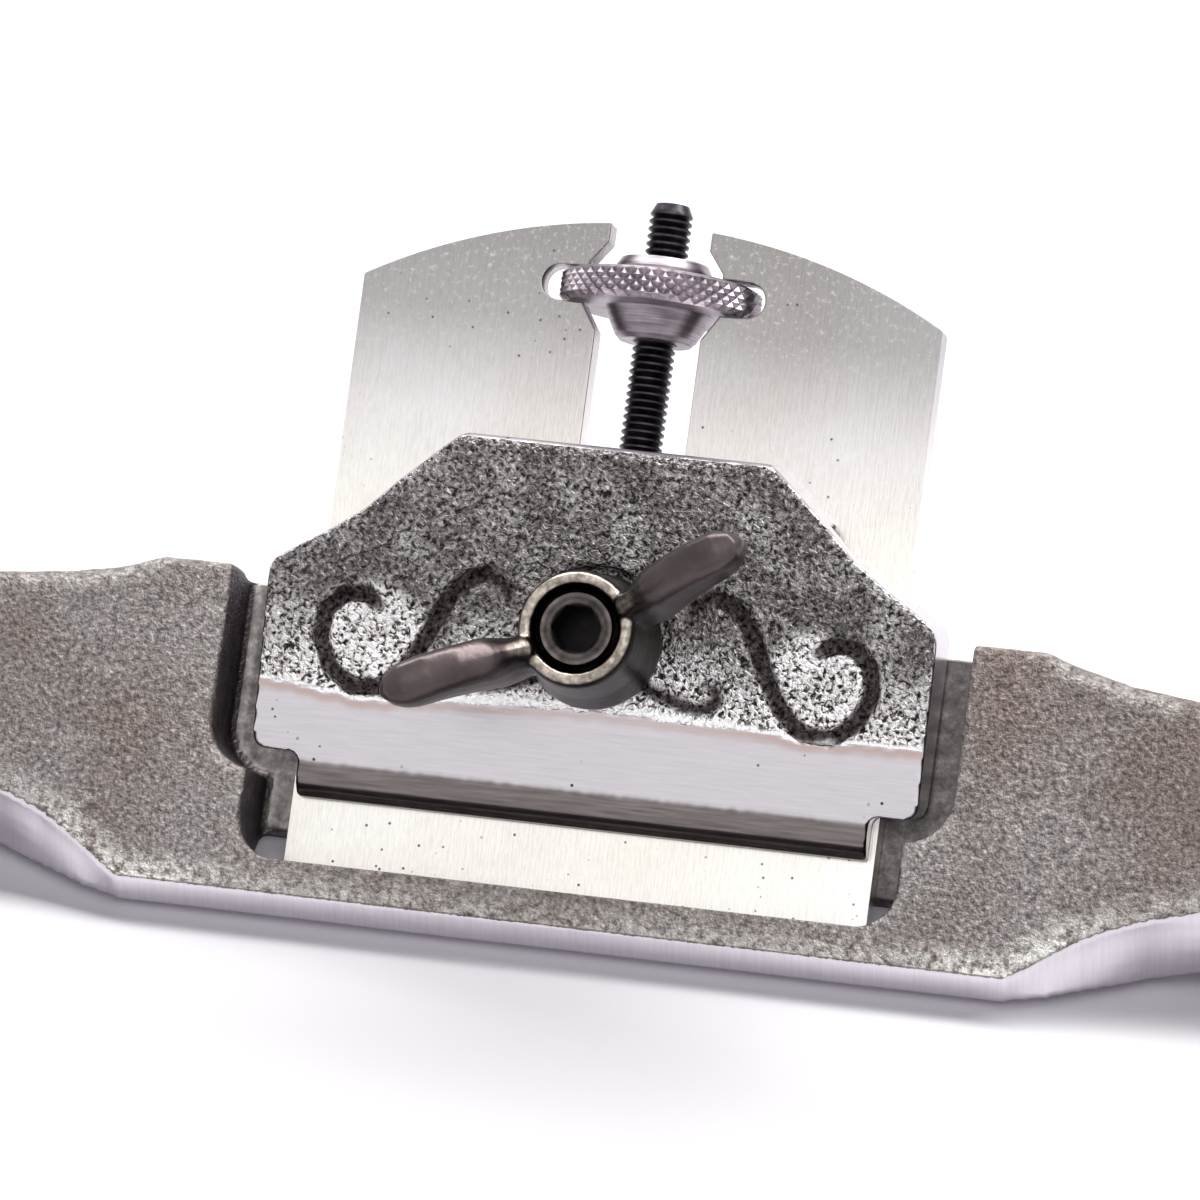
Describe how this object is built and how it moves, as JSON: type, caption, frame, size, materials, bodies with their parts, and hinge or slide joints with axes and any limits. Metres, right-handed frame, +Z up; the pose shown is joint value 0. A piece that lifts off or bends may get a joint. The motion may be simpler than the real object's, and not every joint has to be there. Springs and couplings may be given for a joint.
{
  "type": "spokeshave",
  "caption": "Flat-soled cast metal spokeshave with a screw-adjusted blade, a scroll-ornamented lever cap clamped by a wing nut, and two handles.",
  "frame": {"origin": "on the flat sole, in the middle of its width and of the land behind the mouth, 6.7 mm behind the line where the plane of the 45 degree blade bed meets the sole", "axes": "+X to the right along the handles, +Y from the toe to the back, +Z up from the flat sole, which lies on Z = 0"},
  "size_m": [0.2546, 0.0563, 0.0451],
  "materials": {
    "casting": "bare sand casting, ground along the toe and sole",
    "cap_casting": "bare sand casting with a polished band above the lip",
    "nut_casting": "dark satin casting",
    "ground_steel": "ground lengthwise",
    "turned_steel": "turned and diamond knurled",
    "dark_steel": "darkened set screw",
    "black_steel": "black oxide"
  },
  "bodies": {
    "body": {"body": "casting", "adjuster_stud": "black_steel", "cap_stud": "dark_steel"},
    "blade": {"blade": "ground_steel"},
    "adjuster_wheel": {"adjuster_wheel": "turned_steel"},
    "lever_cap": {"lever_cap": "cap_casting"},
    "wing_nut": {"wing_nut": "nut_casting"}
  },
  "joints": [
    {"name": "blade_slide", "type": "slide", "parent": "body", "child": "blade", "axis": [0, 0.7071, 0.7071], "range_m": [-0.0007, 0.0014]},
    {"name": "adjuster_turn", "type": "hinge", "parent": "blade", "child": "adjuster_wheel", "pos_m": [0, 0.03215, 0.03772], "axis": [0, 0.7071, 0.7071], "range_deg": [-360, 720]},
    {"name": "cap_lift", "type": "slide", "parent": "body", "child": "lever_cap", "axis": [0, -0.7071, 0.7071], "range_m": [0, 0.00125]},
    {"name": "wing_nut_turn", "type": "hinge", "parent": "lever_cap", "child": "wing_nut", "pos_m": [0, 0.00283, 0.02017], "axis": [0, -0.7071, 0.7071], "range_deg": [0, 360]}
  ],
  "couplings": [
    {"joint": "adjuster_turn", "follows": "blade_slide", "rad_per_m": 8975},
    {"joint": "wing_nut_turn", "follows": "cap_lift", "rad_per_m": 5026}
  ]
}
